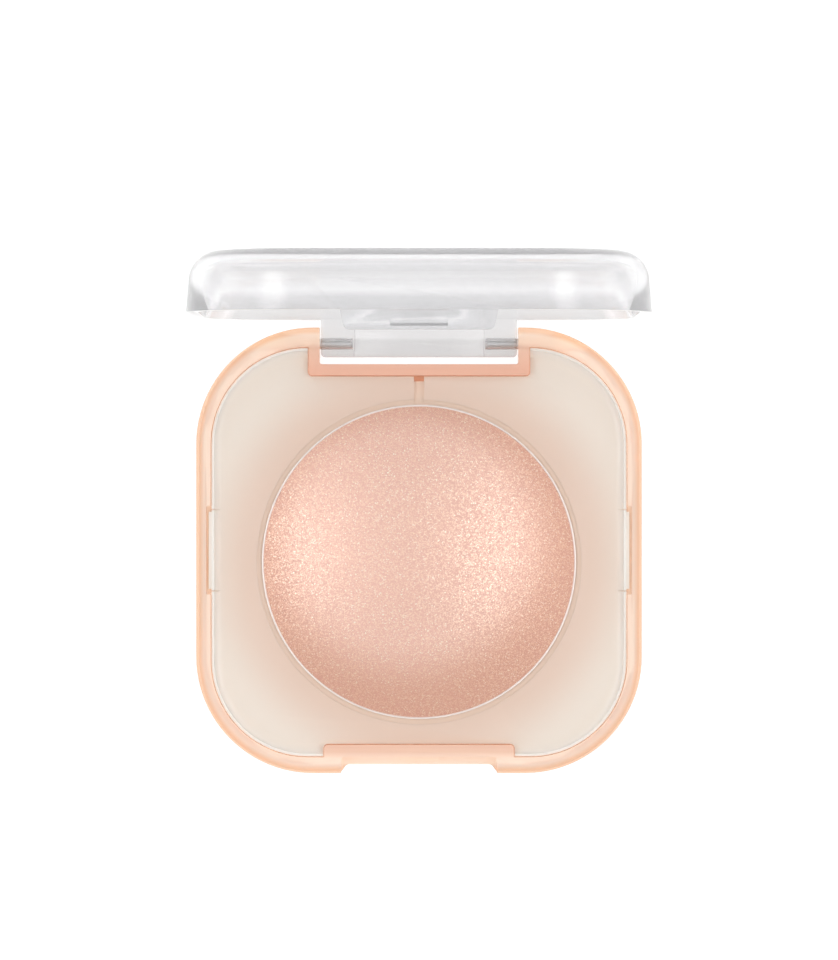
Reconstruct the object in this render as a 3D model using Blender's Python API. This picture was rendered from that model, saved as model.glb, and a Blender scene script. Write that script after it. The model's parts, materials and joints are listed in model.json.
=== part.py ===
"""Highlighter powder compact: clear hinged lid, transparent case, satin deck and domed powder.

Metres, +Z up. The origin is the centre of the case's underside. -Y is the front, where the thumb
tab is, and +Y is the hinge. The lid stands open at a right angle to the case.
"""

import math

import bmesh
import bpy
from mathutils import Matrix, Vector

MM = 0.001

# Case: a square with round corners.
CASE_HALF = 31.5 * MM
CASE_CORNER = 16.5 * MM
CASE_HEIGHT = 10.0 * MM
FLOOR = 1.5 * MM
BOTTOM_ROUND = 3.0 * MM
CASE_DRAFT = math.radians(1.5)
RIM_ROUND = 0.45 * MM

# Room inside the case: the deck's seat above, a smaller room below its ledge.
SIDE_WALL = 2.06 * MM
SEAT_FRONT = -29.23 * MM
SEAT_BACK = 28.7 * MM
SEAT_CORNER = 13.7 * MM
LEDGE_Z = 7.75 * MM
LEDGE_WIDTH = 1.1 * MM
RING_RADIUS = 17.0 * MM
RING_WALL = 1.2 * MM

# Hinge: the axis runs along X, behind the well.
AXIS_Y = 29.2 * MM
AXIS_Z = 6.85 * MM
BARREL = 3.36 * MM
BARREL_CLEAR = 3.0 * MM
NOTCH_HALF = 14.05 * MM
NOTCH_WALL_Y = 26.3 * MM
BLOCK_HALF = 15.6 * MM
BLOCK_Y = 24.7 * MM
LUG_HALF = 13.87 * MM
LUG_REACH = 1.89 * MM
LUG_ROUND = 0.55 * MM
PIN_RADIUS = 0.75 * MM
PIN_START = 9.6 * MM
PIN_END = 19.1 * MM
EAR_BORE = 0.78 * MM
LUG_BORE = 0.80 * MM
ACCESS_BORE = 0.97 * MM
PIN_CHAMFER = 0.15 * MM
REST_OPEN = math.radians(90.0)

# Front of the case: thumb notch, catch recess and catch nub.
THUMB_HALF = 10.24 * MM
THUMB_MOUTH_HALF = 11.1 * MM
THUMB_Y = -30.33 * MM
RECESS_HALF = 11.0 * MM
RECESS_Y = -29.2 * MM
RECESS_Z = 7.0 * MM
LATCH_HALF = 13.4 * MM
LATCH_Y = -27.5 * MM
NUB_HALF = 2.8 * MM
NUB_DEPTH = 0.6 * MM
NUB_TAPER = 0.5 * MM
NUB_Z = (7.9 * MM, 8.7 * MM)

# Deck: a plate with a coved border and a round well.
DECK_GAP = 0.12 * MM
DECK_SEAT_GAP = 0.05 * MM
DECK_Z = 8.8 * MM
DECK_EDGE_Z = 9.6 * MM
COVE = 1.7 * MM
COVE_LIP = 0.35 * MM
WELL_Y = -1.65 * MM
WELL_MOUTH = 22.95 * MM
WELL_RADIUS = 22.25 * MM
WELL_STEP_Z = 8.45 * MM
WELL_FLOOR_Z = 4.15 * MM
WELL_WALL = 1.0 * MM
VENT_HALF = 0.72 * MM
VENT_FLOOR_Z = 8.25 * MM
VENT_HOLE = 0.7 * MM
FINGER_HALF = 5.65 * MM
FINGER_SLIT = 0.2 * MM
FINGER_BEAD = 0.4 * MM
BEAD_Z = (8.9 * MM, 9.4 * MM)
SLIT_REACH = 1.19 * MM
SLOT_HALF = 6.25 * MM
SLOT_DEPTH = 0.6 * MM
SLOT_FLOOR_Z = 8.6 * MM

# Pan, powder, glue and label. Stacked pieces stand TOUCH apart, and joined shapes run into each
# other by OVERLAP.
TOUCH = 0.05 * MM
OVERLAP = 0.2 * MM
GLUE_RADIUS = 15.0 * MM
GLUE_THICK = 0.35 * MM
PAN_RADIUS = 22.05 * MM
PAN_WALL = 0.3 * MM
PAN_FOOT = 0.8 * MM
PAN_RIM_Z = 8.9 * MM
POWDER_EDGE_Z = 8.75 * MM
POWDER_RISE = 5.0 * MM
LABEL_RADIUS = 18.5 * MM
LABEL_THICK = 0.15 * MM
LABEL_RECESS = 0.2 * MM
LABEL_GAP = 0.3 * MM

# Lid, shut: its rim stands just clear of the case's rim.
LID_RIM_Z = 10.27 * MM
LID_HEIGHT = 8.78 * MM
LID_CROWN = 0.5 * MM
LID_WALL = 1.6 * MM
LID_TOP_WALL = 1.5 * MM
LID_ROUND = 3.7 * MM
LID_DRAFT = math.radians(4.7)
TAB_HALF = 10.6 * MM
TAB_TIP_HALF = 10.0 * MM
TAB_DROP = 2.73 * MM
TAB_THICK = 1.1 * MM
TAB_ROOT = 0.3 * MM
TAB_CORNER = 0.8 * MM
RIB_HALF = 3.8 * MM
RIB_Y = -29.95 * MM
RIB_DROP = (0.05 * MM, 2.15 * MM)

# How finely round shapes are divided.
CORNER_STEPS = 9
EDGE_STEPS = 4
ROUND_STEPS = 64
PIN_STEPS = 24
BARREL_STEPS = 10
DOME_STEPS = 12
CROWN_SCALES = (0.75, 0.5, 0.25, 0.1)
ARC_MIDDLE = 1.0 - math.cos(math.radians(45.0))
SAME_X = 0.001 * MM


def clear_scene():
    for item in list(bpy.data.objects):
        bpy.data.objects.remove(item, do_unlink=True)


def plastic(name, colour, roughness, alpha=1.0):
    material = bpy.data.materials.new(name)
    material.use_nodes = True
    shader = material.node_tree.nodes["Principled BSDF"]
    shader.inputs["Base Color"].default_value = (*colour, 1.0)
    shader.inputs["Roughness"].default_value = roughness
    shader.inputs["Alpha"].default_value = alpha
    return material


def metal(name, colour, roughness):
    material = plastic(name, colour, roughness)
    material.node_tree.nodes["Principled BSDF"].inputs["Metallic"].default_value = 1.0
    return material


def make_object(name, mesh_data, material=None):
    """Turn a bmesh into a named object, with its faces pointing out."""
    bmesh.ops.recalc_face_normals(mesh_data, faces=mesh_data.faces)
    mesh = bpy.data.meshes.new(name)
    mesh_data.to_mesh(mesh)
    mesh_data.free()
    item = bpy.data.objects.new(name, mesh)
    bpy.context.scene.collection.objects.link(item)
    if material:
        mesh.materials.append(material)
    return item


def smooth(item):
    item.data.shade_smooth()
    item.data.set_sharp_from_angle(angle=math.radians(30.0))


def round_square(low_x, low_y, high_x, high_y, corner):
    """The outline of a rectangle with round corners, anticlockwise, as (x, y) points."""
    points = []
    centres = (
        (high_x - corner, high_y - corner, 0.0),
        (low_x + corner, high_y - corner, 90.0),
        (low_x + corner, low_y + corner, 180.0),
        (high_x - corner, low_y + corner, 270.0),
    )
    for centre_x, centre_y, start in centres:
        for step in range(CORNER_STEPS + 1):
            angle = math.radians(start + 90.0 * step / CORNER_STEPS)
            points.append((centre_x + corner * math.cos(angle), centre_y + corner * math.sin(angle)))
    return points


def case_outline(inset):
    """The case's outline, moved inwards."""
    half = CASE_HALF - inset
    return round_square(-half, -half, half, half, CASE_CORNER - inset)


def seat_outline(inset):
    """The outline of the deck's seat, moved inwards."""
    half = CASE_HALF - SIDE_WALL - inset
    return round_square(-half, SEAT_FRONT + inset, half, SEAT_BACK - inset, SEAT_CORNER - inset)


def circle_outline(radius, centre_y=WELL_Y):
    turns = [2.0 * math.pi * step / ROUND_STEPS for step in range(ROUND_STEPS)]
    return [(radius * math.cos(turn), centre_y + radius * math.sin(turn)) for turn in turns]


def loft(name, layers, material=None):
    """A closed solid through a stack of outlines, each given as (points, height)."""
    mesh_data = bmesh.new()
    rings = []
    for points, height in layers:
        rings.append([mesh_data.verts.new((x, y, height)) for x, y in points])
    for lower, upper in zip(rings, rings[1:]):
        count = len(lower)
        for i in range(count):
            after = (i + 1) % count
            mesh_data.faces.new((lower[i], lower[after], upper[after], upper[i]))
    mesh_data.faces.new(rings[0])
    mesh_data.faces.new(rings[-1])
    return make_object(name, mesh_data, material)


def block(name, low, high):
    """A box between two corners."""
    mesh_data = bmesh.new()
    bmesh.ops.create_cube(mesh_data, size=1.0)
    size = Vector(high) - Vector(low)
    middle = (Vector(high) + Vector(low)) / 2.0
    bmesh.ops.scale(mesh_data, vec=size, verts=mesh_data.verts)
    bmesh.ops.translate(mesh_data, vec=middle, verts=mesh_data.verts)
    return make_object(name, mesh_data)


def prism_x(name, profile, low_x, high_x):
    """A solid with one (y, z) profile all along X."""
    mesh_data = bmesh.new()
    ends = [[mesh_data.verts.new((x, y, z)) for y, z in profile] for x in (low_x, high_x)]
    count = len(profile)
    for i in range(count):
        after = (i + 1) % count
        mesh_data.faces.new((ends[0][i], ends[0][after], ends[1][after], ends[1][i]))
    mesh_data.faces.new(ends[0])
    mesh_data.faces.new(ends[1])
    return make_object(name, mesh_data)


def prism_z(name, profile, low_z, high_z):
    """A solid with one (x, y) profile all the way up."""
    return loft(name, [(profile, low_z), (profile, high_z)])


def rod_x(name, radius, low_x, high_x, material=None, chamfer=0.0):
    """A round rod along the hinge axis, its ends chamfered if asked."""
    mesh_data = bmesh.new()
    length = high_x - low_x
    turn = Matrix.Rotation(math.radians(90.0), 4, "Y")
    place = Matrix.Translation(((low_x + high_x) / 2.0, AXIS_Y, AXIS_Z)) @ turn
    bmesh.ops.create_cone(
        mesh_data,
        cap_ends=True,
        segments=PIN_STEPS,
        radius1=radius,
        radius2=radius,
        depth=length,
        matrix=place,
    )
    if chamfer:
        rims = []
        for edge in mesh_data.edges:
            first, second = edge.verts
            if abs(first.co.x - second.co.x) < SAME_X:
                rims.append(edge)
        bmesh.ops.bevel(mesh_data, geom=rims, offset=chamfer, segments=1, affect="EDGES")
    return make_object(name, mesh_data, material)


def combine(item, other, operation):
    """Cut or join another shape into an item, and keep that shape only as a guide."""
    modifier = item.modifiers.new(other.name, "BOOLEAN")
    modifier.operation = operation
    modifier.object = other
    modifier.solver = "EXACT"
    other.hide_render = True
    other.display_type = "WIRE"


def cut(item, *cutters):
    for cutter in cutters:
        combine(item, cutter, "DIFFERENCE")


def join(item, *additions):
    for addition in additions:
        combine(item, addition, "UNION")


def quarter_round(steps):
    """Points (along, up) on a quarter circle of unit radius, from its foot to its top."""
    turns = [math.radians(90.0 * step / steps) for step in range(steps + 1)]
    return [(1.0 - math.sin(turn), 1.0 - math.cos(turn)) for turn in turns]


def case_layers():
    """The outside of the case: round bottom edge, drafted wall, softened rim."""
    layers = []
    lean = math.tan(CASE_DRAFT) * (CASE_HEIGHT - BOTTOM_ROUND)
    for along, up in quarter_round(EDGE_STEPS):
        layers.append((case_outline(lean + BOTTOM_ROUND * along), BOTTOM_ROUND * up))
    layers.append((case_outline(0.0), CASE_HEIGHT - RIM_ROUND))
    middle = RIM_ROUND * ARC_MIDDLE
    layers.append((case_outline(middle), CASE_HEIGHT - middle))
    layers.append((case_outline(RIM_ROUND), CASE_HEIGHT))
    return layers


def case_room():
    """The space inside the case, with the ledge that carries the deck."""
    above = CASE_HEIGHT + MM
    layers = [
        (seat_outline(LEDGE_WIDTH), FLOOR),
        (seat_outline(LEDGE_WIDTH), LEDGE_Z),
        (seat_outline(0.0), LEDGE_Z),
        (seat_outline(0.0), above),
    ]
    room = loft("case_room", layers)
    hinge_wall = block("hinge_wall", (-BLOCK_HALF, BLOCK_Y, 0.0), (BLOCK_HALF, CASE_HALF, above + MM))
    latch_wall = block("latch_wall", (-LATCH_HALF, -CASE_HALF, 0.0), (LATCH_HALF, LATCH_Y, above + MM))
    cut(room, hinge_wall, latch_wall)
    return room


def barrel_relief():
    """What is cut off the back edge, so that it is round about the hinge axis."""
    far = AXIS_Y + BARREL + BARREL_CLEAR
    top = CASE_HEIGHT + MM
    profile = []
    for step in range(BARREL_STEPS + 1):
        turn = math.radians(90.0 * step / BARREL_STEPS)
        profile.append((AXIS_Y + BARREL * math.cos(turn), AXIS_Z + BARREL * math.sin(turn)))
    profile.append((AXIS_Y, top))
    profile.append((far, top))
    profile.append((far, AXIS_Z))
    return prism_x("barrel_relief", profile, -CASE_HALF, CASE_HALF)


def thumb_notch():
    """The through notch in the front wall, its ends leaning outwards."""
    out = -CASE_HALF - MM
    lean = (THUMB_MOUTH_HALF - THUMB_HALF) / (CASE_HALF + THUMB_Y)
    far = THUMB_MOUTH_HALF + lean * MM
    profile = [(-THUMB_HALF, THUMB_Y), (-far, out), (far, out), (THUMB_HALF, THUMB_Y)]
    return prism_z("thumb_notch", profile, -MM, CASE_HEIGHT + MM)


def catch_nub():
    """The bead on the recess's wall that the lid's rib snaps over."""
    root = RECESS_Y + DECK_GAP
    tip = RECESS_Y - NUB_DEPTH
    tip_half = NUB_HALF - NUB_TAPER
    profile = [(-NUB_HALF, root), (-tip_half, tip), (tip_half, tip), (NUB_HALF, root)]
    return prism_z("catch_nub", profile, *NUB_Z)


def make_base(material):
    base = loft("base_shell", case_layers(), material)
    cut(base, case_room(), barrel_relief(), thumb_notch())
    above = CASE_HEIGHT + MM
    out = CASE_HALF + MM
    cut(base, block("hinge_notch", (-NOTCH_HALF, NOTCH_WALL_Y, -MM), (NOTCH_HALF, out, above)))
    cut(base, block("catch_recess", (-RECESS_HALF, -out, RECESS_Z), (RECESS_HALF, RECESS_Y, above)))
    join(base, catch_nub())
    ring_top = WELL_FLOOR_Z - WELL_WALL - TOUCH
    tube = prism_z("support_ring", circle_outline(RING_RADIUS), FLOOR - DECK_GAP, ring_top)
    cut(tube, prism_z("support_room", circle_outline(RING_RADIUS - RING_WALL), 0.0, CASE_HEIGHT))
    join(base, tube)
    for side, word in ((-1.0, "left"), (1.0, "right")):
        ends = sorted((side * (NOTCH_HALF - MM), side * (PIN_END + DECK_GAP)))
        cut(base, rod_x(f"ear_bore_{word}", EAR_BORE, *ends))
        ends = sorted((side * PIN_END, side * out))
        cut(base, rod_x(f"access_bore_{word}", ACCESS_BORE, *ends))
        wall = side * (CASE_HALF - SIDE_WALL)
        near, far = sorted((wall - side * MM, wall + side * SLOT_DEPTH))
        cut(base, block(f"finger_slot_{word}", (near, -SLOT_HALF, SLOT_FLOOR_Z), (far, SLOT_HALF, above)))
    recess = circle_outline(LABEL_RADIUS + LABEL_GAP, centre_y=0.0)
    cut(base, prism_z("label_recess", recess, -MM, LABEL_RECESS))
    smooth(base)
    return base


def deck_layers():
    """The deck's plate and its border, which rises in a cove."""
    layers = [
        (seat_outline(DECK_GAP), LEDGE_Z + DECK_SEAT_GAP),
        (seat_outline(DECK_GAP), DECK_EDGE_Z),
    ]
    rise = DECK_EDGE_Z - DECK_Z
    width = COVE - COVE_LIP
    for along, up in quarter_round(EDGE_STEPS):
        layers.append((seat_outline(DECK_GAP + COVE_LIP + width * up), DECK_Z + rise * along))
    return layers


def well_cup():
    """The cup under the plate, as one solid: the well is cut out of it later."""
    outer = circle_outline(WELL_RADIUS + WELL_WALL)
    return prism_z("well_cup", outer, WELL_FLOOR_Z - WELL_WALL, LEDGE_Z + OVERLAP)


def make_deck(material):
    deck = loft("deck", deck_layers(), material)
    above = CASE_HEIGHT + MM
    hinge_clear = BLOCK_HALF + DECK_GAP
    hinge_edge = BLOCK_Y - DECK_GAP
    latch_clear = LATCH_HALF + DECK_GAP
    join(deck, well_cup())
    cut(
        deck,
        block("deck_hinge_step", (-hinge_clear, hinge_edge, 0.0), (hinge_clear, CASE_HALF, above)),
        block("deck_latch_step", (-latch_clear, -CASE_HALF, 0.0), (latch_clear, LATCH_Y + DECK_GAP, above)),
        prism_z("well_room", circle_outline(WELL_RADIUS), WELL_FLOOR_Z, above),
        prism_z("well_mouth", circle_outline(WELL_MOUTH), WELL_STEP_Z, above),
        block("vent_groove", (-VENT_HALF, 0.0, VENT_FLOOR_Z), (VENT_HALF, BLOCK_Y, above)),
        block("vent_hole", (-VENT_HALF, hinge_edge - VENT_HOLE, 0.0), (VENT_HALF, BLOCK_Y, above)),
    )
    edge = CASE_HALF - SIDE_WALL - DECK_GAP
    bead_half = FINGER_HALF - FINGER_SLIT
    for side, word in ((-1.0, "left"), (1.0, "right")):
        slit_x = sorted((side * (edge - SLIT_REACH), side * CASE_HALF))
        for end, place in ((-1.0, "front"), (1.0, "back")):
            slit_y = sorted((end * FINGER_HALF, end * (FINGER_HALF + FINGER_SLIT)))
            low = (slit_x[0], slit_y[0], DECK_Z + TOUCH)
            cut(deck, block(f"finger_slit_{word}_{place}", low, (slit_x[1], slit_y[1], above)))
        bead_x = sorted((side * (edge - COVE_LIP), side * (edge + FINGER_BEAD)))
        low = (bead_x[0], -bead_half, BEAD_Z[0])
        join(deck, block(f"finger_bead_{word}", low, (bead_x[1], bead_half, BEAD_Z[1])))
    smooth(deck)
    return deck


def make_glue(material):
    low = WELL_FLOOR_Z + TOUCH
    glue = prism_z("pan_adhesive", circle_outline(GLUE_RADIUS), low, low + GLUE_THICK)
    glue.data.materials.append(material)
    return glue


def pan_floor_z():
    """The underside of the pan, on top of the glue."""
    return WELL_FLOOR_Z + TOUCH + GLUE_THICK + TOUCH


def make_pan(material):
    bottom = pan_floor_z()
    inner = PAN_RADIUS - PAN_WALL
    layers = [
        (circle_outline(PAN_RADIUS - PAN_FOOT), bottom),
        (circle_outline(PAN_RADIUS), bottom + PAN_FOOT),
        (circle_outline(PAN_RADIUS), PAN_RIM_Z),
        (circle_outline(inner), PAN_RIM_Z),
        (circle_outline(inner), bottom + PAN_FOOT),
        (circle_outline(inner - PAN_FOOT + PAN_WALL), bottom + PAN_WALL),
    ]
    pan = loft("powder_pan", layers, material)
    smooth(pan)
    return pan


def make_powder(material):
    """The baked powder: it fills the pan and rises out of it in a dome."""
    bottom = pan_floor_z() + PAN_WALL + TOUCH
    radius = PAN_RADIUS - PAN_WALL - TOUCH
    layers = [
        (circle_outline(radius - PAN_FOOT), bottom),
        (circle_outline(radius), bottom + PAN_FOOT),
        (circle_outline(radius), POWDER_EDGE_Z),
    ]
    ball = (radius**2 + POWDER_RISE**2) / (2.0 * POWDER_RISE)
    for step in range(1, DOME_STEPS):
        ring = radius * (1.0 - step / DOME_STEPS)
        height = POWDER_EDGE_Z + POWDER_RISE - ball + math.sqrt(ball**2 - ring**2)
        layers.append((circle_outline(ring), height))
    powder = loft("powder_dome", layers, material)
    smooth(powder)
    return powder


def make_label(material):
    label = prism_z("base_label", circle_outline(LABEL_RADIUS, centre_y=0.0), 0.0, LABEL_THICK)
    label.data.materials.append(material)
    return label


def lid_outline(inset, scale=1.0):
    """The lid's outline, moved inwards, then shrunk for the rings that make its crown."""
    half = (CASE_HALF - inset) * scale
    return round_square(-half, -half, half, half, (CASE_CORNER - inset) * scale)


def lid_shell_layers(inset, rim_z, top_z, edge_round):
    """A cap shape from its rim to its crown: drafted wall, round edge, crowned top."""
    shoulder = top_z - LID_CROWN - edge_round
    lean = math.tan(LID_DRAFT)
    layers = [(lid_outline(inset + lean * (rim_z - LID_RIM_Z)), rim_z)]
    wall_inset = inset + lean * (shoulder - LID_RIM_Z)
    for along, up in quarter_round(EDGE_STEPS + 2):
        across = edge_round * (1.0 - up)
        height = shoulder + edge_round * (1.0 - along)
        layers.append((lid_outline(wall_inset + edge_round - across), height))
    for scale in CROWN_SCALES:
        rise = LID_CROWN * (1.0 - scale**2)
        layers.append((lid_outline(wall_inset + edge_round, scale), top_z - LID_CROWN + rise))
    return layers


def thumb_tab():
    """The tab at the front of the lid's rim, narrower at its tip."""
    top = LID_RIM_Z + TAB_ROOT
    tip = LID_RIM_Z - TAB_DROP
    face = -CASE_HALF
    inner = face + TAB_THICK
    middle = TAB_CORNER * ARC_MIDDLE
    right_side = [
        (TAB_TIP_HALF - TAB_CORNER, tip),
        (TAB_TIP_HALF - middle, tip + middle),
        (TAB_TIP_HALF, tip + TAB_CORNER),
        (TAB_HALF, LID_RIM_Z),
        (TAB_HALF, top),
    ]
    profile = [(-x, z) for x, z in reversed(right_side)] + right_side
    mesh_data = bmesh.new()
    ends = [[mesh_data.verts.new((x, y, z)) for x, z in profile] for y in (face, inner)]
    count = len(profile)
    for i in range(count):
        after = (i + 1) % count
        mesh_data.faces.new((ends[0][i], ends[0][after], ends[1][after], ends[1][i]))
    mesh_data.faces.new(ends[0])
    mesh_data.faces.new(ends[1])
    return make_object("thumb_tab", mesh_data)


def catch_rib():
    """The rib inside the tab that snaps past the case's nub."""
    root = TAB_THICK * 0.5 - CASE_HALF
    low = (-RIB_HALF, root, LID_RIM_Z - RIB_DROP[1])
    high = (RIB_HALF, RIB_Y, LID_RIM_Z - RIB_DROP[0])
    return block("catch_rib", low, high)


def hinge_lug():
    """The lug that reaches from the lid's back wall down round the hinge axis."""
    front = AXIS_Y - LUG_REACH
    back = CASE_HALF - TOUCH
    bottom = AXIS_Z - LUG_REACH
    top = LID_RIM_Z + LID_WALL
    profile = [(front, top)]
    for along, up in quarter_round(EDGE_STEPS):
        profile.append((front + LUG_ROUND * up, bottom + LUG_ROUND * along))
    for along, up in quarter_round(EDGE_STEPS):
        profile.append((back - LUG_ROUND * along, bottom + LUG_ROUND * up))
    profile.append((back, top))
    return prism_x("hinge_lug", profile, -LUG_HALF, LUG_HALF)


def make_lid(material, axis_empty):
    """The lid is shaped shut, then hung on the hinge's empty."""
    top = LID_RIM_Z + LID_HEIGHT
    lid = loft("lid_shell", lid_shell_layers(0.0, LID_RIM_Z, top, LID_ROUND), material)
    room_layers = lid_shell_layers(LID_WALL, LID_RIM_Z - MM, top - LID_TOP_WALL, LID_ROUND - LID_WALL)
    guides = [loft("lid_room", room_layers), thumb_tab(), catch_rib(), hinge_lug()]
    cut(lid, guides[0])
    join(lid, *guides[1:])
    for side, word in ((-1.0, "left"), (1.0, "right")):
        ends = sorted((side * (PIN_START - 2.0 * DECK_GAP), side * (LUG_HALF + MM)))
        bore = rod_x(f"lug_bore_{word}", LUG_BORE, *ends)
        cut(lid, bore)
        guides.append(bore)
    smooth(lid)
    for item in [lid, *guides]:
        item.parent = axis_empty
        item.matrix_parent_inverse = Matrix.Translation((0.0, -AXIS_Y, -AXIS_Z))
    return lid


def make_pins(material):
    for side, word in ((-1.0, "left"), (1.0, "right")):
        ends = sorted((side * PIN_START, side * PIN_END))
        pin = rod_x(f"hinge_pin_{word}", PIN_RADIUS, *ends, material=material, chamfer=PIN_CHAMFER)
        smooth(pin)


def main():
    clear_scene()
    make_base(plastic("peach_clear", (0.89, 0.60, 0.42), 0.08, alpha=0.45))
    make_deck(plastic("peach_satin", (0.86, 0.72, 0.62), 0.35))
    make_glue(plastic("glue_white", (0.85, 0.83, 0.78), 0.5))
    make_pan(metal("pan_metal", (0.86, 0.82, 0.80), 0.3))
    make_powder(plastic("baked_powder", (0.83, 0.60, 0.48), 0.45))
    make_label(plastic("label_paper", (0.93, 0.92, 0.90), 0.7))
    axis = bpy.data.objects.new("hinge_axis", None)
    bpy.context.scene.collection.objects.link(axis)
    axis.location = (0.0, AXIS_Y, AXIS_Z)
    make_lid(plastic("clear_lid", (0.95, 0.96, 0.97), 0.05, alpha=0.3), axis)
    axis.rotation_euler.x = -REST_OPEN
    make_pins(metal("steel", (0.72, 0.70, 0.68), 0.3))


main()
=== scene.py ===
import json
import math

import bmesh
import bpy
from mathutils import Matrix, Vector


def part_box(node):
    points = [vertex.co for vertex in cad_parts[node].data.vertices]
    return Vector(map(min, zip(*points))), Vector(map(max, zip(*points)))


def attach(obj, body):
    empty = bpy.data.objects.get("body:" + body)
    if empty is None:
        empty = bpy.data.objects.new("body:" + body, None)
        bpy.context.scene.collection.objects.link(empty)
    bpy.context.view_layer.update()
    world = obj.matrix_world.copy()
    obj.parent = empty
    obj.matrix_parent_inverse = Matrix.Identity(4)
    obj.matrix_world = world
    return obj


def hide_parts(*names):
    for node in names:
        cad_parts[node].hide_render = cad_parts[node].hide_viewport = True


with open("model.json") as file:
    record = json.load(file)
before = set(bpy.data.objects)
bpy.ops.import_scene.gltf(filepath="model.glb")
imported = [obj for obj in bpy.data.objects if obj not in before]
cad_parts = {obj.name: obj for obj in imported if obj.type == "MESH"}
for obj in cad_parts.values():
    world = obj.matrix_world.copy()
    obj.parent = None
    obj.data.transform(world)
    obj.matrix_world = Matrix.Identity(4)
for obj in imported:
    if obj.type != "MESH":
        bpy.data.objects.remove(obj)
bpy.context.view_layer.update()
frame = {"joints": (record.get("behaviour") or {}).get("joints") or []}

# ---- Case ----------------------------------------------------------------------------------------
# The lower case is one injection moulding in transparent, peach-tinted styrene, highly polished.
# It has the hinge ears, the notches for the lug and the thumb tab, the catch nub, the ledge that
# carries the deck and a ring under the pan that takes the push of a finger on the powder.

MM = 0.001
case_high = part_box("base_shell")[1]
CASE_HALF = case_high.x
CASE_CORNER = 16.5 * MM
CASE_TOP = case_high.z
CASE_FLOOR = 1.5 * MM
CASE_BOTTOM_ROUND = 3.0 * MM
CASE_LEAN = math.tan(math.radians(1.5)) * (CASE_TOP - CASE_BOTTOM_ROUND)
CASE_RIM_ROUND = 0.5 * MM
CASE_SOFTENING = 0.12 * MM
SIDE_WALL = 2.06 * MM
SEAT_FRONT = -29.23 * MM
SEAT_BACK = 28.7 * MM
SEAT_CORNER = 13.7 * MM
LEDGE_Z = 7.75 * MM
LEDGE_WIDTH = 1.1 * MM
ROOM_OVERLAP = 0.1 * MM
FLOOR_ROUND = 0.6 * MM
WALL_ROUND = 0.5 * MM
BLOCK_HALF = 15.6 * MM
BLOCK_Y = 24.7 * MM
LATCH_HALF = 13.4 * MM
LATCH_Y = -27.5 * MM
NOTCH_HALF = 14.05 * MM
NOTCH_WALL_Y = 26.3 * MM
NOTCH_ROUND = 0.35 * MM
THUMB_HALF = 10.24 * MM
THUMB_MOUTH_HALF = 11.1 * MM
THUMB_Y = -30.33 * MM
THUMB_ROUND = 0.4 * MM
RECESS_HALF = 11.0 * MM
RECESS_Y = -29.2 * MM
RECESS_Z = 7.0 * MM
RECESS_ROUND = 0.4 * MM
NUB_HALF = 2.8 * MM
NUB_LOW = 7.9 * MM
NUB_HIGH = 8.7 * MM
NUB_TIP_Y = -29.8 * MM
NUB_ROUND = 0.45 * MM
NUB_ROOT = 0.3 * MM
AXIS_Y, AXIS_Z = frame["joints"][0]["pos_m"][1:]
BARREL = 3.36 * MM
PIN_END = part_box("hinge_pin_right")[1].x
EAR_BORE = 0.78 * MM
ACCESS_BORE = 0.97 * MM
PIN_END_ROOM = 0.15 * MM
SLOT_HALF = 6.25 * MM
SLOT_DEPTH = 0.6 * MM
SLOT_FLOOR_Z = 8.6 * MM
SLOT_ROUND = 0.2 * MM
WELL_Y = -1.65 * MM
RING_RADIUS = 17.0 * MM
RING_WALL = 1.2 * MM
RING_TOP_Z = 3.1 * MM
RING_ROOT = 0.2 * MM
LABEL_RECESS_RADIUS = 18.8 * MM
LABEL_RECESS = 0.2 * MM
OVER = 1.0 * MM
TOOL_TOP = CASE_TOP + OVER
CORNER_CUTS = 24
ROUND_CUTS = 8
EDGE_CUTS = 4
SMALL_CUTS = 3


def deselect_everything():
    if bpy.context.object and bpy.context.object.mode != "OBJECT":
        bpy.ops.object.mode_set(mode="OBJECT")
    bpy.ops.object.select_all(action="DESELECT")


def take(piece):
    """Makes one piece the selected and active one."""
    deselect_everything()
    piece.select_set(True)
    bpy.context.view_layer.objects.active = piece


def pick(kind, test):
    """In edit mode, selects the vertices, edges or faces for which the test holds."""
    bpy.ops.mesh.select_mode(type=kind)
    bpy.ops.mesh.select_all(action="DESELECT")
    shape = bmesh.from_edit_mesh(bpy.context.object.data)
    parts = {"VERT": shape.verts, "EDGE": shape.edges, "FACE": shape.faces}[kind]
    for part in parts:
        part.select_set(test(part))
    shape.select_flush_mode()
    bmesh.update_edit_mesh(bpy.context.object.data)


def near(a, b, slack=0.02 * MM):
    return abs(a - b) < slack


def stands(edge):
    """True for an edge that runs straight up."""
    a, b = edge.verts[0].co, edge.verts[1].co
    return near(a.x, b.x) and near(a.y, b.y) and not near(a.z, b.z)


def stands_at(y):
    """A test for the upright edges at one depth."""
    return lambda edge: stands(edge) and near(edge.verts[0].co.y, y)


def at_height(edge, z):
    return all(near(v.co.z, z) for v in edge.verts)


def block(name, low, high):
    """A box between two corners."""
    deselect_everything()
    low, high = Vector(low), Vector(high)
    bpy.ops.mesh.primitive_cube_add(size=1.0, location=(low + high) / 2.0)
    piece = bpy.context.object
    piece.name = name
    piece.scale = high - low
    bpy.ops.object.transform_apply(location=True, rotation=True, scale=True)
    return piece


def drum(name, radius, low, high, centre=(0.0, WELL_Y), sides=192):
    """An upright round plug."""
    deselect_everything()
    place = (centre[0], centre[1], (low + high) / 2.0)
    bpy.ops.mesh.primitive_cylinder_add(
        vertices=sides, radius=radius, depth=high - low, location=place
    )
    piece = bpy.context.object
    piece.name = name
    bpy.ops.object.transform_apply(location=True, rotation=True, scale=True)
    return piece


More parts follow.
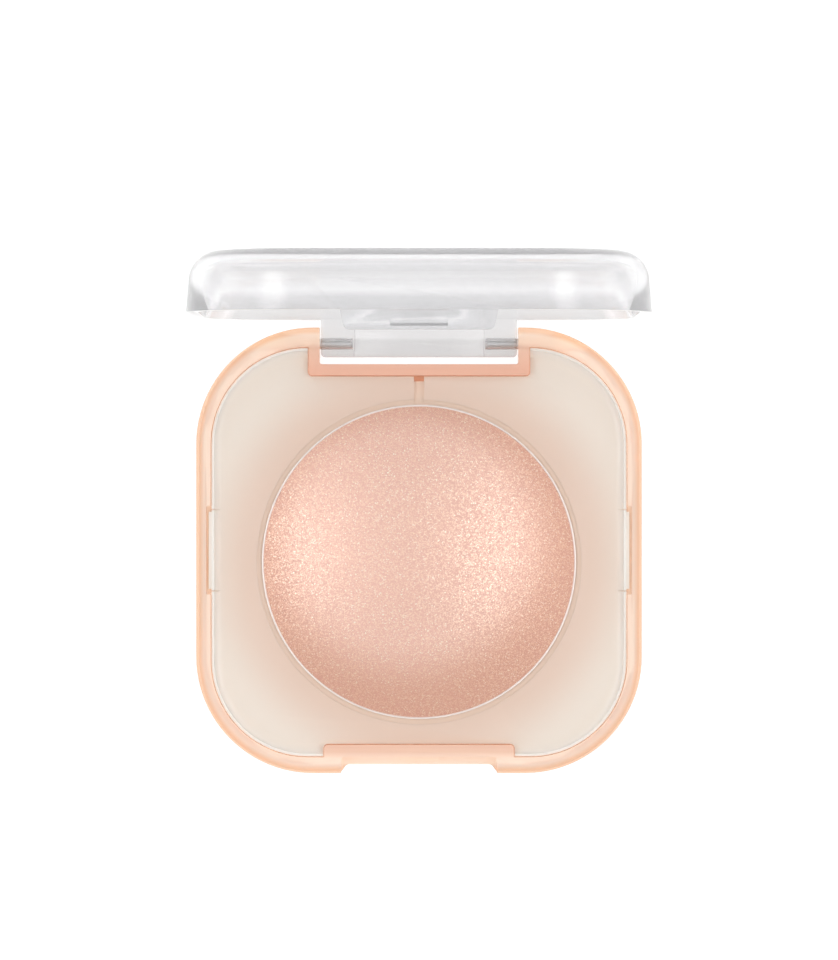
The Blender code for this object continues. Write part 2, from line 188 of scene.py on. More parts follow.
def rod(name, radius, low_x, high_x, sides=48):
    """A round rod on the hinge axis."""
    deselect_everything()
    place = ((low_x + high_x) / 2.0, AXIS_Y, AXIS_Z)
    turn = (0.0, math.radians(90.0), 0.0)
    bpy.ops.mesh.primitive_cylinder_add(
        vertices=sides, radius=radius, depth=high_x - low_x, location=place, rotation=turn
    )
    piece = bpy.context.object
    piece.name = name
    bpy.ops.object.transform_apply(location=True, rotation=True, scale=True)
    return piece


def bevel_where(piece, test, width, cuts):
    """Rounds the edges for which the test holds."""
    take(piece)
    bpy.ops.object.mode_set(mode="EDIT")
    pick("EDGE", test)
    bpy.ops.mesh.bevel(offset=width, segments=cuts, profile=0.5, affect="EDGES")
    bpy.ops.object.mode_set(mode="OBJECT")


def round_block(name, low, high, corner, cuts=CORNER_CUTS):
    """A box whose upright edges are rounded."""
    piece = block(name, low, high)
    bevel_where(piece, stands, corner, cuts)
    return piece


def work(piece, tool, operation):
    """Cuts or joins a tool shape into the piece and throws the tool away."""
    take(piece)
    step = piece.modifiers.new("work", "BOOLEAN")
    step.operation = operation
    step.object = tool
    step.solver = "EXACT"
    bpy.ops.object.modifier_apply(modifier=step.name)
    bpy.data.objects.remove(tool, do_unlink=True)


def carve(piece, *tools):
    for tool in tools:
        work(piece, tool, "DIFFERENCE")


def weld(piece, *tools):
    for tool in tools:
        work(piece, tool, "UNION")


def soften(piece, width, cuts=2, angle=35.0):
    """Takes the knife edge off every sharp corner, as a polished mould does."""
    take(piece)
    step = piece.modifiers.new("soften", "BEVEL")
    step.width = width
    step.segments = cuts
    step.limit_method = "ANGLE"
    step.angle_limit = math.radians(angle)
    step.use_clamp_overlap = True
    step.harden_normals = False
    bpy.ops.object.modifier_apply(modifier=step.name)


def smooth(piece, angle=32.0):
    take(piece)
    bpy.ops.object.shade_smooth_by_angle(angle=math.radians(angle))


case = block("case_clear", (-CASE_HALF, -CASE_HALF, 0.0), (CASE_HALF, CASE_HALF, CASE_TOP))
bevel_where(case, stands, CASE_CORNER, CORNER_CUTS)
bpy.ops.object.mode_set(mode="EDIT")
pick("VERT", lambda v: near(v.co.z, 0.0))
slim = 1.0 - CASE_LEAN / CASE_HALF
bpy.ops.transform.resize(value=(slim, slim, 1.0), center_override=(0.0, 0.0, 0.0))
bpy.ops.object.mode_set(mode="OBJECT")
bevel_where(case, lambda e: at_height(e, 0.0), CASE_BOTTOM_ROUND, ROUND_CUTS)
bevel_where(case, lambda e: at_height(e, CASE_TOP), CASE_RIM_ROUND, EDGE_CUTS)

relief = block("relief", (-CASE_HALF, AXIS_Y, AXIS_Z), (CASE_HALF, CASE_HALF + OVER, TOOL_TOP))
carve(relief, rod("relief_barrel", BARREL, -CASE_HALF - OVER, CASE_HALF + OVER, sides=128))
carve(case, relief)

SEAT_HALF = CASE_HALF - SIDE_WALL
room = round_block(
    "room", (-SEAT_HALF, SEAT_FRONT, LEDGE_Z), (SEAT_HALF, SEAT_BACK, TOOL_TOP), SEAT_CORNER
)
low_half = SEAT_HALF - LEDGE_WIDTH
lower_room = round_block(
    "lower_room",
    (-low_half, SEAT_FRONT + LEDGE_WIDTH, CASE_FLOOR),
    (low_half, SEAT_BACK - LEDGE_WIDTH, LEDGE_Z + ROOM_OVERLAP),
    SEAT_CORNER - LEDGE_WIDTH,
)
bevel_where(lower_room, lambda e: at_height(e, CASE_FLOOR), FLOOR_ROUND, SMALL_CUTS)
weld(room, lower_room)
wall_top = CASE_TOP + 2.0 * OVER
hinge_block = block(
    "hinge_block", (-BLOCK_HALF, BLOCK_Y, 0.0), (BLOCK_HALF, CASE_HALF, wall_top)
)
latch_block = block(
    "latch_block", (-LATCH_HALF, -CASE_HALF, 0.0), (LATCH_HALF, LATCH_Y, wall_top)
)
for wall in (hinge_block, latch_block):
    bevel_where(wall, stands, WALL_ROUND, EDGE_CUTS)
carve(room, hinge_block, latch_block)
carve(case, room)

lug_room = block(
    "lug_room", (-NOTCH_HALF, NOTCH_WALL_Y, -OVER), (NOTCH_HALF, CASE_HALF + OVER, TOOL_TOP)
)
bevel_where(lug_room, stands_at(NOTCH_WALL_Y), NOTCH_ROUND, EDGE_CUTS)
carve(case, lug_room)

thumb_room = block(
    "thumb_room", (-THUMB_HALF, -CASE_HALF - OVER, -OVER), (THUMB_HALF, THUMB_Y, TOOL_TOP)
)
take(thumb_room)
bpy.ops.object.mode_set(mode="EDIT")
pick("VERT", lambda v: v.co.y < THUMB_Y - OVER / 2.0)
flare = (THUMB_MOUTH_HALF - THUMB_HALF) * (CASE_HALF + OVER + THUMB_Y) / (CASE_HALF + THUMB_Y)
mouth = THUMB_HALF + flare
bpy.ops.transform.resize(value=(mouth / THUMB_HALF, 1.0, 1.0), center_override=(0.0, 0.0, 0.0))
bpy.ops.object.mode_set(mode="OBJECT")
bevel_where(thumb_room, stands_at(THUMB_Y), THUMB_ROUND, EDGE_CUTS)
carve(case, thumb_room)

catch_room = block(
    "catch_room", (-RECESS_HALF, -CASE_HALF - OVER, RECESS_Z), (RECESS_HALF, RECESS_Y, TOOL_TOP)
)
bevel_where(catch_room, stands_at(RECESS_Y), RECESS_ROUND, EDGE_CUTS)
carve(case, catch_room)
nub = block("nub", (-NUB_HALF, NUB_TIP_Y, NUB_LOW), (NUB_HALF, RECESS_Y + NUB_ROOT, NUB_HIGH))
bevel_where(nub, stands_at(NUB_TIP_Y), NUB_ROUND, 5)
weld(case, nub)

ring = drum("ring", RING_RADIUS, CASE_FLOOR - RING_ROOT, RING_TOP_Z)
carve(ring, drum("ring_room", RING_RADIUS - RING_WALL, 0.0, CASE_TOP))
weld(case, ring)
for side in (-1.0, 1.0):
    inner, outer = sorted((side * (NOTCH_HALF - OVER), side * (PIN_END + PIN_END_ROOM)))
    carve(case, rod("ear_bore", EAR_BORE, inner, outer))
    inner, outer = sorted((side * PIN_END, side * (CASE_HALF + OVER)))
    carve(case, rod("access_bore", ACCESS_BORE, inner, outer))
    near_x, far_x = sorted((side * (SEAT_HALF - OVER), side * (SEAT_HALF + SLOT_DEPTH)))
    slot = block("slot", (near_x, -SLOT_HALF, SLOT_FLOOR_Z), (far_x, SLOT_HALF, TOOL_TOP))
    bevel_where(slot, stands, SLOT_ROUND, SMALL_CUTS)
    carve(case, slot)
carve(case, drum("label_room", LABEL_RECESS_RADIUS, -OVER, LABEL_RECESS, centre=(0.0, 0.0)))
soften(case, CASE_SOFTENING)
smooth(case)


def range_of(nodes, links, value, start, end, low=0.0, high=1.0, turn="LINEAR"):
    """Maps a value so that start and end come out as low and high."""
    node = nodes.new("ShaderNodeMapRange")
    node.interpolation_type = turn
    ends = {"From Min": start, "From Max": end, "To Min": low, "To Max": high}
    for socket, number in ends.items():
        node.inputs[socket].default_value = number
    links.new(value, node.inputs["Value"])
    return node.outputs["Result"]


def noise_of(nodes, links, place, scale, detail=2.0, roughness=0.5):
    """A cloudy pattern of one scale."""
    node = nodes.new("ShaderNodeTexNoise")
    node.inputs["Scale"].default_value = scale
    node.inputs["Detail"].default_value = detail
    node.inputs["Roughness"].default_value = roughness
    links.new(place, node.inputs["Vector"])
    return node.outputs["Fac"]


SCUFF_SCALE = 420.0
SCUFFS_FAINT, SCUFFS_FULL = 0.45, 0.75


def mould_skin():
    """Moulded plastic's face: slow waves from shrinkage, a fine grain and a faint haze of wear."""
    group = bpy.data.node_groups.new("mould_skin", "ShaderNodeTree")
    socket = group.interface.new_socket
    socket(name="Vector", in_out="INPUT", socket_type="NodeSocketVector")
    for name, value in (("Wave Scale", 60.0), ("Grain Scale", 9000.0), ("Grain Share", 0.1)):
        socket(name=name, in_out="INPUT", socket_type="NodeSocketFloat").default_value = value
    for name in ("Height", "Wear"):
        socket(name=name, in_out="OUTPUT", socket_type="NodeSocketFloat")
    nodes, links = group.nodes, group.links
    entry = nodes.new("NodeGroupInput")
    leave = nodes.new("NodeGroupOutput")
    blend = nodes.new("ShaderNodeMix")
    links.new(entry.outputs["Grain Share"], blend.inputs["Factor"])
    for scale, detail, socket_name in (("Wave Scale", 1.0, "A"), ("Grain Scale", 2.0, "B")):
        noise = nodes.new("ShaderNodeTexNoise")
        noise.inputs["Detail"].default_value = detail
        links.new(entry.outputs["Vector"], noise.inputs["Vector"])
        links.new(entry.outputs[scale], noise.inputs["Scale"])
        links.new(noise.outputs["Fac"], blend.inputs[socket_name])
    links.new(blend.outputs["Result"], leave.inputs["Height"])
    scuffs = noise_of(nodes, links, entry.outputs["Vector"], SCUFF_SCALE, 6.0, 0.7)
    links.new(range_of(nodes, links, scuffs, SCUFFS_FAINT, SCUFFS_FULL), leave.inputs["Wear"])
    return group


skin_group = mould_skin()


def add_skin(nodes, links, place, wave_scale, grain_share, grain_scale=9000.0):
    """Places the mould skin in a material."""
    skin = nodes.new("ShaderNodeGroup")
    skin.node_tree = skin_group
    skin.inputs["Wave Scale"].default_value = wave_scale
    skin.inputs["Grain Scale"].default_value = grain_scale
    skin.inputs["Grain Share"].default_value = grain_share
    links.new(place, skin.inputs["Vector"])
    return skin


def start_material(name):
    """A new material with its Principled shader and Object coordinates."""
    material = bpy.data.materials.new(name)
    material.use_nodes = True
    nodes = material.node_tree.nodes
    place = nodes.new("ShaderNodeTexCoord")
    return material, nodes, material.node_tree.links, nodes["Principled BSDF"], place.outputs["Object"]


def finish_with(piece, material):
    """Gives a piece its only material."""
    piece.data.materials.clear()
    piece.data.materials.append(material)


def fill_ramp(ramp, stops):
    """Sets a colour ramp to the given (position, colour) stops, in order."""
    for end in (0, -1):
        ramp.elements[end].position = stops[end][0]
        ramp.elements[end].color = (*stops[end][1], 1.0)
    for position, colour in stops[1:-1]:
        ramp.elements.new(position).color = (*colour, 1.0)


def blend_of(nodes, links, factor, first, second, kind="MIX"):
    """Mixes two colours; the first is a colour or another node's output."""
    node = nodes.new("ShaderNodeMix")
    node.data_type = "RGBA"
    node.blend_type = kind
    links.new(factor, node.inputs["Factor"])
    if isinstance(first, tuple):
        node.inputs["A"].default_value = (*first, 1.0)
    else:
        links.new(first, node.inputs["A"])
    node.inputs["B"].default_value = (*second, 1.0)
    return node.outputs["Result"]


def add_bump(nodes, links, shader, height, strength, distance):
    """Raises the surface a little by a height value."""
    bump = nodes.new("ShaderNodeBump")
    bump.inputs["Strength"].default_value = strength
    bump.inputs["Distance"].default_value = distance
    links.new(height, bump.inputs["Height"])
    links.new(bump.outputs["Normal"], shader.inputs["Normal"])


def number_step(nodes, links, operation, *values):
    """One math node; each value is a number or another node's output."""
    node = nodes.new("ShaderNodeMath")
    node.operation = operation
    for socket, value in zip(node.inputs, values):
        if isinstance(value, (int, float)):
            socket.default_value = value
        else:
            links.new(value, socket)
    return node.outputs["Value"]


def vector_step(nodes, links, operation, first, *rest):
    """One vector math node; the first value is another node's output, the others are fixed."""
    node = nodes.new("ShaderNodeVectorMath")
    node.operation = operation
    links.new(first, node.inputs[0])
    for socket, value in zip(node.inputs[1:], rest):
        socket.default_value = value
    return node


def depth_from_outline(nodes, links, place):
    """How far in from the case's round-cornered outline a point lies."""
    flat = vector_step(nodes, links, "MULTIPLY", place, (1.0, 1.0, 0.0))
    folded = vector_step(nodes, links, "ABSOLUTE", flat.outputs["Vector"])
    straight = CASE_HALF - CASE_CORNER
    past = vector_step(nodes, links, "SUBTRACT", folded.outputs["Vector"], (straight, straight, 0.0))
    beyond = vector_step(nodes, links, "MAXIMUM", past.outputs["Vector"], (0.0, 0.0, 0.0))
    reach = vector_step(nodes, links, "LENGTH", beyond.outputs["Vector"])
    return number_step(nodes, links, "SUBTRACT", CASE_CORNER, reach.outputs["Value"])


CLEAR_HAZE = (0.94, 0.94, 0.94)
CLEAR_WEAR = 0.05
CLEAR_WAVE_HEIGHT = 0.25 * MM


def clear_plastic(
    name, measure, tint_and_painted_shade, see_through, shine, shadow_tint, ior, depth_tint, depth_density, waves
):
    """Transparent plastic with a little haze in it.

    It lets lamps through, and its tint, with painted light and shade in it, runs along a measure of
    the place.
    """
    material, nodes, links, shader, place = start_material(name)
    shader.inputs["Transmission Weight"].default_value = see_through
    shader.inputs["IOR"].default_value = ior
    skin = add_skin(nodes, links, place, wave_scale=55.0, grain_share=0.0)
    first, last = tint_and_painted_shade[0][0], tint_and_painted_shade[-1][0]
    tint = nodes.new("ShaderNodeValToRGB")
    fill_ramp(tint.color_ramp, [((at - first) / (last - first), colour) for at, colour in tint_and_painted_shade])
    span = range_of(nodes, links, measure(nodes, links, place), first, last)
    links.new(span, tint.inputs["Fac"])
    height = skin.outputs["Height"]
    paint = blend_of(nodes, links, height, tint.outputs["Color"], CLEAR_HAZE, "MULTIPLY")
    links.new(paint, shader.inputs["Base Color"])
    gloss = range_of(nodes, links, skin.outputs["Wear"], 0.0, 1.0, shine, shine + CLEAR_WEAR)
    links.new(gloss, shader.inputs["Roughness"])
    add_bump(nodes, links, shader, height, waves, CLEAR_WAVE_HEIGHT)
    paths = nodes.new("ShaderNodeLightPath")
    thin = nodes.new("ShaderNodeBsdfTransparent")
    thin.inputs["Color"].default_value = (*shadow_tint, 1.0)
    either = nodes.new("ShaderNodeMixShader")
    links.new(paths.outputs["Is Shadow Ray"], either.inputs["Fac"])
    links.new(shader.outputs["BSDF"], either.inputs[1])
    links.new(thin.outputs["BSDF"], either.inputs[2])
    output = nodes["Material Output"]
    links.new(either.outputs["Shader"], output.inputs["Surface"])
    depth = nodes.new("ShaderNodeVolumeAbsorption")
    depth.inputs["Color"].default_value = (*depth_tint, 1.0)
    depth.inputs["Density"].default_value = depth_density
    links.new(depth.outputs["Volume"], output.inputs["Volume"])
    return material


peach_clear = clear_plastic(
    "peach_clear",
    measure=depth_from_outline,
    # Painted light and shade over the peach tint: darker orange at the outline, a painted pale band a
    # little inside it, and darker again further in, as light runs through the walls.
    tint_and_painted_shade=(
        (0.0, (1.0, 0.72, 0.51)),
        (0.6 * MM, (1.0, 0.78, 0.57)),
        (1.1 * MM, (1.0, 0.94, 0.82)),
        (2.2 * MM, (1.0, 0.88, 0.76)),
        (3.0 * MM, (0.86, 0.66, 0.54)),
        (6.0 * MM, (0.85, 0.57, 0.45)),
    ),
    see_through=0.45,
    shine=0.05,
    shadow_tint=(0.98, 0.90, 0.82),
    ior=1.5,
    depth_tint=(0.98, 0.45, 0.28),
    depth_density=24.0,
    waves=0.2,
)
# The faint glow is painted light: an orange emission that brightens the case walls, though the case is
# no lamp.
painted_glow = peach_clear.node_tree.nodes["Principled BSDF"].inputs
painted_glow["Emission Color"].default_value = (1.0, 0.42, 0.14, 1.0)
painted_glow["Emission Strength"].default_value = 0.05
finish_with(case, peach_clear)
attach(case, "case")
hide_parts("base_shell")

# ---- Deck ----------------------------------------------------------------------------------------
# The deck is the milky, satin tray that drops into the case and snaps in by a finger on each side.
# Its border rises in a cove; the round well is one with it, with a step round its mouth, and a
# groove behind lets the air out when the pan goes in.

DECK_GAP = 0.12 * MM
DECK_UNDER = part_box("deck")[0].z
DECK_LIFT = 0.05 * MM
DECK_PLATE_LOW = LEDGE_Z + DECK_LIFT
DECK_Z = 8.8 * MM
DECK_EDGE_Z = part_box("deck")[1].z
COVE = 1.7 * MM
COVE_LIP = 0.35 * MM
COVE_CUTS = 8
WELL_MOUTH = 22.95 * MM
WELL_RADIUS = 22.25 * MM
WELL_STEP_Z = 8.45 * MM
WELL_FLOOR_Z = 4.15 * MM
WELL_WALL = 1.0 * MM
WELL_ROOT = 0.2 * MM
DECK_STEP_ROUND = 0.6 * MM
VENT_HALF = 0.72 * MM
VENT_FLOOR_Z = 8.25 * MM
VENT_HOLE = 0.7 * MM
FINGER_HALF = 5.65 * MM
FINGER_SLIT = 0.2 * MM
FINGER_BEAD = 0.4 * MM
SLIT_REACH = COVE * 0.7
SLIT_FLOOR_Z = DECK_Z + 0.05 * MM
BEAD_LOW = DECK_Z + 0.1 * MM
BEAD_HIGH = DECK_EDGE_Z - 0.2 * MM
DECK_SOFTENING = 0.1 * MM

deck_half = SEAT_HALF - DECK_GAP
deck = round_block(
    "deck_satin",
    (-deck_half, SEAT_FRONT + DECK_GAP, DECK_PLATE_LOW),
    (deck_half, SEAT_BACK - DECK_GAP, DECK_EDGE_Z),
    SEAT_CORNER - DECK_GAP,
)
take(deck)
bpy.ops.object.mode_set(mode="EDIT")
pick("FACE", lambda f: f.normal.z > 0.9)
bpy.ops.mesh.inset(thickness=COVE_LIP)
cove_rise = DECK_EDGE_Z - DECK_Z
cove_width = COVE - COVE_LIP
for step in range(COVE_CUTS):
    here = math.radians(90.0 * step / COVE_CUTS)
    there = math.radians(90.0 * (step + 1) / COVE_CUTS)
    bpy.ops.mesh.inset(
        thickness=cove_width * (math.cos(here) - math.cos(there)),
        depth=-cove_rise * (math.sin(there) - math.sin(here)),
    )
bpy.ops.object.mode_set(mode="OBJECT")
weld(deck, drum("well_cup", WELL_RADIUS + WELL_WALL, DECK_UNDER, DECK_PLATE_LOW + WELL_ROOT))
step_clear = BLOCK_HALF + DECK_GAP
latch_clear = LATCH_HALF + DECK_GAP
hinge_step = block(
    "hinge_step", (-step_clear, BLOCK_Y - DECK_GAP, 0.0), (step_clear, CASE_HALF, TOOL_TOP)
)
latch_step = block(
    "latch_step", (-latch_clear, -CASE_HALF, 0.0), (latch_clear, LATCH_Y + DECK_GAP, TOOL_TOP)
)
for wall in (hinge_step, latch_step):
    bevel_where(wall, stands, DECK_STEP_ROUND, EDGE_CUTS)
vent_hole = block(
    "vent_hole", (-VENT_HALF, BLOCK_Y - DECK_GAP - VENT_HOLE, 0.0), (VENT_HALF, BLOCK_Y, TOOL_TOP)
)
carve(
    deck,
    hinge_step,
    latch_step,
    drum("well_room", WELL_RADIUS, WELL_FLOOR_Z, TOOL_TOP),
    drum("well_mouth", WELL_MOUTH, WELL_STEP_Z, TOOL_TOP),
    block("vent_groove", (-VENT_HALF, 0.0, VENT_FLOOR_Z), (VENT_HALF, BLOCK_Y, TOOL_TOP)),
    vent_hole,
)
for side in (-1.0, 1.0):
    for end in (-1.0, 1.0):
        slit_y = sorted((end * FINGER_HALF, end * (FINGER_HALF + FINGER_SLIT)))
        slit_x = sorted((side * (deck_half - SLIT_REACH), side * CASE_HALF))
        slit = block("slit", (slit_x[0], slit_y[0], SLIT_FLOOR_Z), (slit_x[1], slit_y[1], TOOL_TOP))
        carve(deck, slit)
    bead_x = sorted((side * (deck_half - COVE_LIP), side * (deck_half + FINGER_BEAD)))
    bead_end = FINGER_HALF - FINGER_SLIT
    weld(deck, block("bead", (bead_x[0], -bead_end, BEAD_LOW), (bead_x[1], bead_end, BEAD_HIGH)))
soften(deck, DECK_SOFTENING)
smooth(deck)


WARM_WIDTH = 9.0 * MM
STEP_EDGE_HIGH = 0.05 * MM
STEP_EDGE_LOW = 0.2 * MM
SATIN_WEAR = 0.12
SATIN_GRAIN_HEIGHT = 0.04 * MM


def satin_plastic(name, well_dust_and_shade, by_wall, painted_rim_highlight, painted_step_light, see_through, shine):
    """Milky plastic from a spark-eroded mould.

    By the well it is pinker and darker, partly from powder dust and partly as painted shade and the
    powder's colour shining through. Its cove is painted paler up to the rim as a painted highlight,
    and the step below the deck face is painted lighter as painted light against the shade there.
    """
    material, nodes, links, shader, place = start_material(name)
    shader.inputs["Transmission Weight"].default_value = see_through
    shader.inputs["IOR"].default_value = 1.5
    skin = add_skin(nodes, links, place, wave_scale=80.0, grain_share=0.6, grain_scale=6500.0)
    from_well = vector_step(nodes, links, "SUBTRACT", place, (0.0, WELL_Y, 0.0))
    flat = vector_step(nodes, links, "MULTIPLY", from_well.outputs["Vector"], (1.0, 1.0, 0.0))
    radius = vector_step(nodes, links, "LENGTH", flat.outputs["Vector"]).outputs["Value"]
    axes = nodes.new("ShaderNodeSeparateXYZ")
    links.new(place, axes.inputs["Vector"])
    height = axes.outputs["Z"]
    warm_end = WELL_MOUTH + WARM_WIDTH
    # Pinker and darker by the well: partly powder dust, partly painted shade and the powder's colour
    # shining through.
    well_dust_and_shade_mask = range_of(nodes, links, radius, WELL_MOUTH, warm_end, turn="SMOOTHSTEP")
    paint = blend_of(nodes, links, well_dust_and_shade_mask, well_dust_and_shade, by_wall)
    # Painted highlight: the deck is painted paler up its cove towards the rim.
    rim_highlight_mask = range_of(nodes, links, height, DECK_Z, DECK_EDGE_Z)
    paint = blend_of(nodes, links, rim_highlight_mask, paint, painted_rim_highlight)
    # Painted light: below the deck face, the step round the well is painted lighter against its shade.
    step_light_mask = range_of(nodes, links, height, DECK_Z - STEP_EDGE_HIGH, DECK_Z - STEP_EDGE_LOW)
    paint = blend_of(nodes, links, step_light_mask, paint, painted_step_light)
    links.new(paint, shader.inputs["Base Color"])
    gloss = range_of(nodes, links, skin.outputs["Wear"], 0.0, 1.0, shine, shine + SATIN_WEAR)
    links.new(gloss, shader.inputs["Roughness"])
    add_bump(nodes, links, shader, skin.outputs["Height"], 0.35, SATIN_GRAIN_HEIGHT)
    return material


# By the well the deck is painted pinker and darker, partly powder dust and partly painted shade; the
# rim colour is a painted highlight and the step colour is painted light.
peach_satin = satin_plastic(
    "peach_satin",
    well_dust_and_shade=(0.87, 0.69, 0.575),
    by_wall=(0.94, 0.88, 0.79),
    painted_rim_highlight=(1.0, 1.0, 0.96),
    painted_step_light=(0.99, 0.80, 0.66),
    see_through=0.25,
    shine=0.3,
)
finish_with(deck, peach_satin)
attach(deck, "case")
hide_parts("deck")

# ---- Glue disc -----------------------------------------------------------------------------------
# A disc of soft white hot-melt is pressed flat between the floor of the well and the pan.
# Its edge has crept out unevenly.

glue_low, glue_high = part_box("pan_adhesive")
GLUE_INSET = 0.4 * MM
GLUE_LOBES = 5.0
GLUE_CREEP = 1.02
GLUE_SOFTENING = 0.12 * MM
glue = drum("glue_disc", glue_high.x - GLUE_INSET, glue_low.z, glue_high.z, sides=96)
take(glue)
bpy.ops.object.mode_set(mode="EDIT")
pick("VERT", lambda v: math.sin(GLUE_LOBES * math.atan2(v.co.y - WELL_Y, v.co.x)) > 0.2)
bpy.ops.transform.resize(value=(GLUE_CREEP, GLUE_CREEP, 1.0), center_override=(0.0, WELL_Y, 0.0))
bpy.ops.object.mode_set(mode="OBJECT")
soften(glue, GLUE_SOFTENING, cuts=SMALL_CUTS)
smooth(glue)
glue_white, nodes, links, shader, place = start_material("glue_white")
shader.inputs["Roughness"].default_value = 0.45
pores = noise_of(nodes, links, place, 900.0)
paint = blend_of(nodes, links, pores, (0.78, 0.75, 0.69), (0.88, 0.86, 0.82))
links.new(paint, shader.inputs["Base Color"])
finish_with(glue, glue_white)
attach(glue, "case")
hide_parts("pan_adhesive")

# ---- Pan -----------------------------------------------------------------------------------------
# The pan is a round dish pressed from thin aluminium sheet. Only its rim shows, as a fine ring
# round the powder.

pan_low, pan_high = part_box("powder_pan")
PAN_RADIUS = pan_high.x
PAN_SHEET = 0.16 * MM
PAN_FOOT = 0.8 * MM
PAN_LIP = 0.25 * MM
PAN_FLARE = 1.0085
PAN_EDGE = 0.05 * MM
PAN_CUTS = 5
METAL_WEAR = 0.15
pan = drum("pan_pressed", PAN_RADIUS, pan_low.z, pan_high.z)
bevel_where(pan, lambda e: at_height(e, pan_low.z), PAN_FOOT, PAN_CUTS)
take(pan)
bpy.ops.object.mode_set(mode="EDIT")
pick("FACE", lambda f: f.normal.z > 0.9)
bpy.ops.mesh.inset(thickness=PAN_SHEET)
bpy.ops.mesh.extrude_region_move(
    TRANSFORM_OT_translate={"value": (0.0, 0.0, pan_low.z + PAN_SHEET - pan_high.z)}
)
bpy.ops.object.mode_set(mode="OBJECT")
bevel_where(pan, lambda e: at_height(e, pan_low.z + PAN_SHEET), PAN_FOOT, PAN_CUTS)
bpy.ops.object.mode_set(mode="EDIT")
bpy.ops.mesh.select_all(action="SELECT")
bpy.ops.mesh.bisect(plane_co=(0.0, 0.0, pan_high.z - PAN_LIP), plane_no=(0.0, 0.0, 1.0))
pick("VERT", lambda v: near(v.co.z, pan_high.z))
bpy.ops.transform.resize(value=(PAN_FLARE, PAN_FLARE, 1.0), center_override=(0.0, WELL_Y, 0.0))
bpy.ops.object.mode_set(mode="OBJECT")
bevel_where(pan, lambda e: at_height(e, pan_high.z), PAN_EDGE, 2)
smooth(pan)


def worked_metal(name, dark, light, shine, grain, bare=1.0):
    """Metal with a fine drawn or pressed grain; bare says how metallic its shine is."""
    material, nodes, links, shader, place = start_material(name)
    shader.inputs["Metallic"].default_value = bare
    lines = noise_of(nodes, links, place, grain, 4.0)
    links.new(blend_of(nodes, links, lines, dark, light), shader.inputs["Base Color"])
    gloss = range_of(nodes, links, lines, 0.0, 1.0, shine, shine + METAL_WEAR)
    links.new(gloss, shader.inputs["Roughness"])
    return material


pan_metal = worked_metal(
    "pan_metal", (0.88, 0.80, 0.76), (0.96, 0.90, 0.86), shine=0.35, grain=1500.0, bare=0.35
)
finish_with(pan, pan_metal)
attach(pan, "case")
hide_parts("powder_pan")

# ---- Powder --------------------------------------------------------------------------------------
# The powder is a wet slurry of mica and talc, poured into the pan, domed by a mould and baked.
# It dries to a matt cake full of pearl flakes, which catch the light as fine points.

powder_low, powder_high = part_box("powder_dome")
POWDER_GAP = 0.02 * MM
POWDER_RADIUS = PAN_RADIUS - PAN_SHEET - POWDER_GAP
POWDER_BRIM = 1.003
POWDER_EDGE_Z = 8.75 * MM
POWDER_RISE = powder_high.z - POWDER_EDGE_Z
BALL = (POWDER_RADIUS**2 + POWDER_RISE**2) / (2.0 * POWDER_RISE)
DOME_RINGS = 60
FLAKE_SCALE = 8400.0
FLAKE_TILT = 0.24
# Darker towards the rim: partly a baked crust, partly painted shade; its centre is set off towards the
# back and left, so the front and right edges take more painted shade.
CRUST_AND_SHADE_CENTRE = (-1.9 * MM, WELL_Y + 3.4 * MM, POWDER_EDGE_Z + POWDER_RISE)
CRUST_AND_SHADE_FROM = 14.0 * MM
CRUST_AND_SHADE_TO = POWDER_RADIUS + 1.0 * MM
CRUST_AND_SHADE_SHARE = 0.75
powder = drum("powder_baked", POWDER_RADIUS, powder_low.z, POWDER_EDGE_Z, sides=256)
bevel_where(powder, lambda e: at_height(e, powder_low.z), PAN_FOOT, 4)
take(powder)
bpy.ops.object.mode_set(mode="EDIT")
bpy.ops.mesh.select_all(action="SELECT")
bpy.ops.mesh.bisect(plane_co=(0.0, 0.0, pan_high.z - PAN_LIP), plane_no=(0.0, 0.0, 1.0))
pick("FACE", lambda f: f.normal.z > 0.9)
bpy.ops.transform.resize(
    value=(POWDER_BRIM, POWDER_BRIM, 1.0), center_override=(0.0, WELL_Y, 0.0)
)


def dome_height(radius):
    return math.sqrt(BALL**2 - radius**2) - BALL


for ring_number in range(DOME_RINGS):
    outer = POWDER_RADIUS * (1.0 - ring_number / DOME_RINGS)
    inner = POWDER_RADIUS * (1.0 - (ring_number + 1) / DOME_RINGS)
    if inner < POWDER_RADIUS / DOME_RINGS * 0.5:
        break
    bpy.ops.mesh.inset(thickness=outer - inner, depth=dome_height(inner) - dome_height(outer))
bpy.ops.object.mode_set(mode="OBJECT")
smooth(powder, 50.0)

baked_powder, nodes, links, shader, place = start_material("baked_powder")
shader.inputs["Sheen Weight"].default_value = 0.15
shader.inputs["Sheen Roughness"].default_value = 0.4
flakes = nodes.new("ShaderNodeTexVoronoi")
flakes.inputs["Scale"].default_value = FLAKE_SCALE
links.new(place, flakes.inputs["Vector"])
tilt = vector_step(
    nodes, links, "MULTIPLY_ADD", flakes.outputs["Color"], (FLAKE_TILT,) * 3, (-FLAKE_TILT / 2.0,) * 3
)
face = nodes.new("ShaderNodeNewGeometry")
lean = vector_step(nodes, links, "ADD", face.outputs["Normal"])
links.new(tilt.outputs["Vector"], lean.inputs[1])
even = vector_step(nodes, links, "NORMALIZE", lean.outputs["Vector"])
links.new(even.outputs["Vector"], shader.inputs["Normal"])
chance = nodes.new("ShaderNodeSeparateColor")
links.new(flakes.outputs["Color"], chance.inputs["Color"])
paint = nodes.new("ShaderNodeValToRGB")
